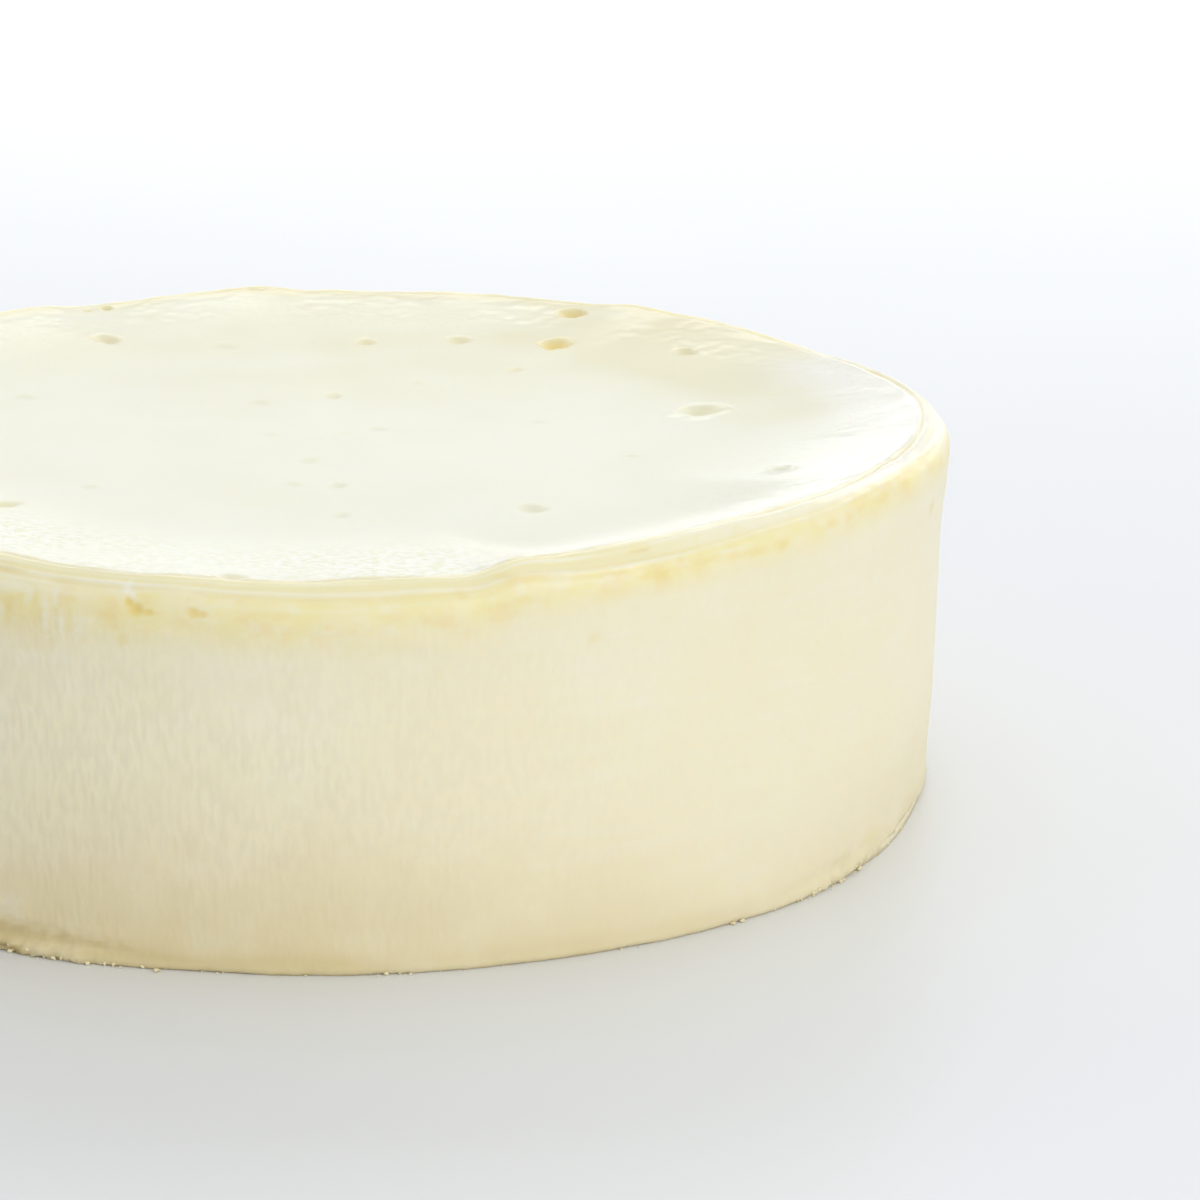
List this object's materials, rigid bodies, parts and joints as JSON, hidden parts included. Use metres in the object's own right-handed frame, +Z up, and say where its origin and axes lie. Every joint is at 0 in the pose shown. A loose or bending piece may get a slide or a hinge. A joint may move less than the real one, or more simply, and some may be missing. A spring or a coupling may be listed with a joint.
{
  "type": "baked cheesecake",
  "caption": "Whole uncut baked cheesecake without a crust: a tall pale cream drum with a rounded uneven rim, a sunken moist top with burst bubbles and a flat base.",
  "frame": {"origin": "middle of the flat base, on the surface the cake stands on", "axes": "+Z up along the axis the cake is round about, -Y towards its front, +X to the right seen from the front"},
  "size_m": [0.229, 0.2296, 0.0721],
  "materials": {
    "baked_cream": "smooth satin pale cream baked cheese, yellower under the rim, moist and glossy on the sunken top"
  },
  "bodies": {
    "root": {"cheesecake": "baked_cream"}
  },
  "joints": []
}
